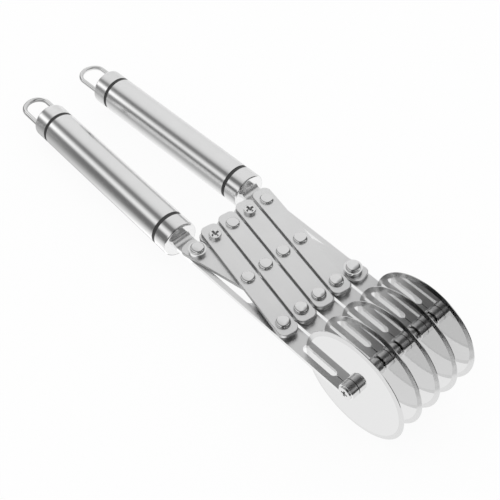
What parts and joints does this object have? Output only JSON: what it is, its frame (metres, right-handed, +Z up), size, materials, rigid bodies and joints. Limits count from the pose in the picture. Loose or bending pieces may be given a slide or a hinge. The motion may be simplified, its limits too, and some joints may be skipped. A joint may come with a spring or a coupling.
{
  "type": "expandable pastry cutter",
  "caption": "Hand dough divider: a row of round cutting wheels on flat arms that riveted lazy tongs spread evenly, with two tubular handles ending in hanging loops.",
  "frame": {"origin": "centre of the footprint, on the surface that the wheels and the rear caps rest on", "axes": "+Y from the wheels to the handles, +Z up, +X to the right seen from behind the wheels"},
  "size_m": [0.0628, 0.2682, 0.055],
  "materials": {
    "plates": "satin stainless strip",
    "wheels": "mirror-polished stainless",
    "fasteners": "polished",
    "handles": "satin stainless tube",
    "loops": "polished wire",
    "rings": "matt dark",
    "plugs": "matt dark"
  },
  "bodies": {
    "arm_1": {"arm_1": "plates", "arm_rivet_1": "fasteners", "axle_screw_1": "fasteners", "axle_nut_1": "fasteners", "arm_spacer_1": "fasteners", "ferrule_left": "handles", "tang_plug_left": "plugs", "handle_tube_left": "handles", "handle_rings_left": "rings", "end_cap_left": "handles", "hanging_loop_left": "loops"},
    "arm_2": {"arm_2": "plates", "arm_rivet_2": "fasteners", "axle_screw_2": "fasteners", "axle_nut_2": "fasteners"},
    "arm_3": {"arm_3": "plates", "arm_rivet_3": "fasteners", "axle_screw_3": "fasteners", "axle_nut_3": "fasteners"},
    "arm_4": {"arm_4": "plates", "arm_rivet_4": "fasteners", "axle_screw_4": "fasteners", "axle_nut_4": "fasteners"},
    "arm_5": {"arm_5": "plates", "arm_rivet_5": "fasteners", "axle_screw_5": "fasteners", "axle_nut_5": "fasteners", "arm_spacer_5": "fasteners", "ferrule_right": "handles", "tang_plug_right": "plugs", "handle_tube_right": "handles", "handle_rings_right": "rings", "end_cap_right": "handles", "hanging_loop_right": "loops"},
    "upper_link_1": {"upper_link_1": "plates", "middle_rivet_1": "fasteners", "slide_screw_2": "fasteners", "slide_nut_2": "fasteners"},
    "lower_link_1": {"lower_link_1": "plates", "slide_rivet_1": "fasteners", "slide_spacer_1": "fasteners"},
    "upper_link_2": {"upper_link_2": "plates", "middle_rivet_2": "fasteners", "slide_rivet_3": "fasteners"},
    "lower_link_2": {"lower_link_2": "plates"},
    "upper_link_3": {"upper_link_3": "plates", "middle_rivet_3": "fasteners", "slide_screw_4": "fasteners", "slide_nut_4": "fasteners"},
    "lower_link_3": {"lower_link_3": "plates"},
    "upper_link_4": {"upper_link_4": "plates", "middle_rivet_4": "fasteners", "slide_rivet_5": "fasteners", "slide_spacer_5": "fasteners"},
    "lower_link_4": {"lower_link_4": "plates"},
    "wheel_1": {"cutting_wheel_1": "wheels"},
    "wheel_2": {"cutting_wheel_2": "wheels"},
    "wheel_3": {"cutting_wheel_3": "wheels"},
    "wheel_4": {"cutting_wheel_4": "wheels"},
    "wheel_5": {"cutting_wheel_5": "wheels"}
  },
  "joints": [
    {"name": "tongs_spread", "type": "hinge", "parent": "arm_3", "child": "upper_link_3", "pos_m": [0, -0.06464, 0.02464], "axis": [0, -0.0681, -0.9977], "range_deg": [0, 57.31]},
    {"name": "lower_link_3_cross", "type": "hinge", "parent": "upper_link_3", "child": "lower_link_3", "pos_m": [0.0055, -0.03623, 0.0227], "axis": [0, -0.0681, -0.9977], "range_deg": [-114.62, 0]},
    {"name": "arm_4_pivot", "type": "hinge", "parent": "lower_link_3", "child": "arm_4", "pos_m": [0.011, -0.06464, 0.02464], "axis": [0, -0.0681, -0.9977], "range_deg": [0, 57.31]},
    {"name": "upper_link_4_pivot", "type": "hinge", "parent": "arm_4", "child": "upper_link_4", "pos_m": [0.011, -0.06464, 0.02464], "axis": [0, -0.0681, -0.9977], "range_deg": [0, 57.31]},
    {"name": "lower_link_4_cross", "type": "hinge", "parent": "upper_link_4", "child": "lower_link_4", "pos_m": [0.0165, -0.03623, 0.0227], "axis": [0, -0.0681, -0.9977], "range_deg": [-114.62, 0]},
    {"name": "arm_5_pivot", "type": "hinge", "parent": "lower_link_4", "child": "arm_5", "pos_m": [0.022, -0.06464, 0.02464], "axis": [0, -0.0681, -0.9977], "range_deg": [0, 57.31]},
    {"name": "lower_link_2_pivot", "type": "hinge", "parent": "arm_3", "child": "lower_link_2", "pos_m": [0, -0.06464, 0.02464], "axis": [0, -0.0681, -0.9977], "range_deg": [-57.31, 0]},
    {"name": "upper_link_2_cross", "type": "hinge", "parent": "lower_link_2", "child": "upper_link_2", "pos_m": [-0.0055, -0.03623, 0.0227], "axis": [0, -0.0681, -0.9977], "range_deg": [0, 114.62]},
    {"name": "arm_2_pivot", "type": "hinge", "parent": "upper_link_2", "child": "arm_2", "pos_m": [-0.011, -0.06464, 0.02464], "axis": [0, -0.0681, -0.9977], "range_deg": [-57.31, 0]},
    {"name": "lower_link_1_pivot", "type": "hinge", "parent": "arm_2", "child": "lower_link_1", "pos_m": [-0.011, -0.06464, 0.02464], "axis": [0, -0.0681, -0.9977], "range_deg": [-57.31, 0]},
    {"name": "upper_link_1_cross", "type": "hinge", "parent": "lower_link_1", "child": "upper_link_1", "pos_m": [-0.0165, -0.03623, 0.0227], "axis": [0, -0.0681, -0.9977], "range_deg": [0, 114.62]},
    {"name": "arm_1_pivot", "type": "hinge", "parent": "upper_link_1", "child": "arm_1", "pos_m": [-0.022, -0.06464, 0.02464], "axis": [0, -0.0681, -0.9977], "range_deg": [-57.31, 0]},
    {"name": "wheel_1_spin", "type": "hinge", "parent": "arm_1", "child": "wheel_1", "pos_m": [-0.022, -0.10659, 0.0275], "axis": [1, 0, 0], "continuous": true},
    {"name": "wheel_2_spin", "type": "hinge", "parent": "arm_2", "child": "wheel_2", "pos_m": [-0.011, -0.10659, 0.0275], "axis": [1, 0, 0], "continuous": true},
    {"name": "wheel_3_spin", "type": "hinge", "parent": "arm_3", "child": "wheel_3", "pos_m": [0, -0.10659, 0.0275], "axis": [1, 0, 0], "continuous": true},
    {"name": "wheel_4_spin", "type": "hinge", "parent": "arm_4", "child": "wheel_4", "pos_m": [0.011, -0.10659, 0.0275], "axis": [1, 0, 0], "continuous": true},
    {"name": "wheel_5_spin", "type": "hinge", "parent": "arm_5", "child": "wheel_5", "pos_m": [0.022, -0.10659, 0.0275], "axis": [1, 0, 0], "continuous": true}
  ],
  "couplings": [
    {"joint": "lower_link_3_cross", "follows": "tongs_spread", "ratio": -2},
    {"joint": "arm_4_pivot", "follows": "tongs_spread", "ratio": 1},
    {"joint": "upper_link_4_pivot", "follows": "tongs_spread", "ratio": 1},
    {"joint": "lower_link_4_cross", "follows": "tongs_spread", "ratio": -2},
    {"joint": "arm_5_pivot", "follows": "tongs_spread", "ratio": 1},
    {"joint": "lower_link_2_pivot", "follows": "tongs_spread", "ratio": -1},
    {"joint": "upper_link_2_cross", "follows": "tongs_spread", "ratio": 2},
    {"joint": "arm_2_pivot", "follows": "tongs_spread", "ratio": -1},
    {"joint": "lower_link_1_pivot", "follows": "tongs_spread", "ratio": -1},
    {"joint": "upper_link_1_cross", "follows": "tongs_spread", "ratio": 2},
    {"joint": "arm_1_pivot", "follows": "tongs_spread", "ratio": -1}
  ]
}
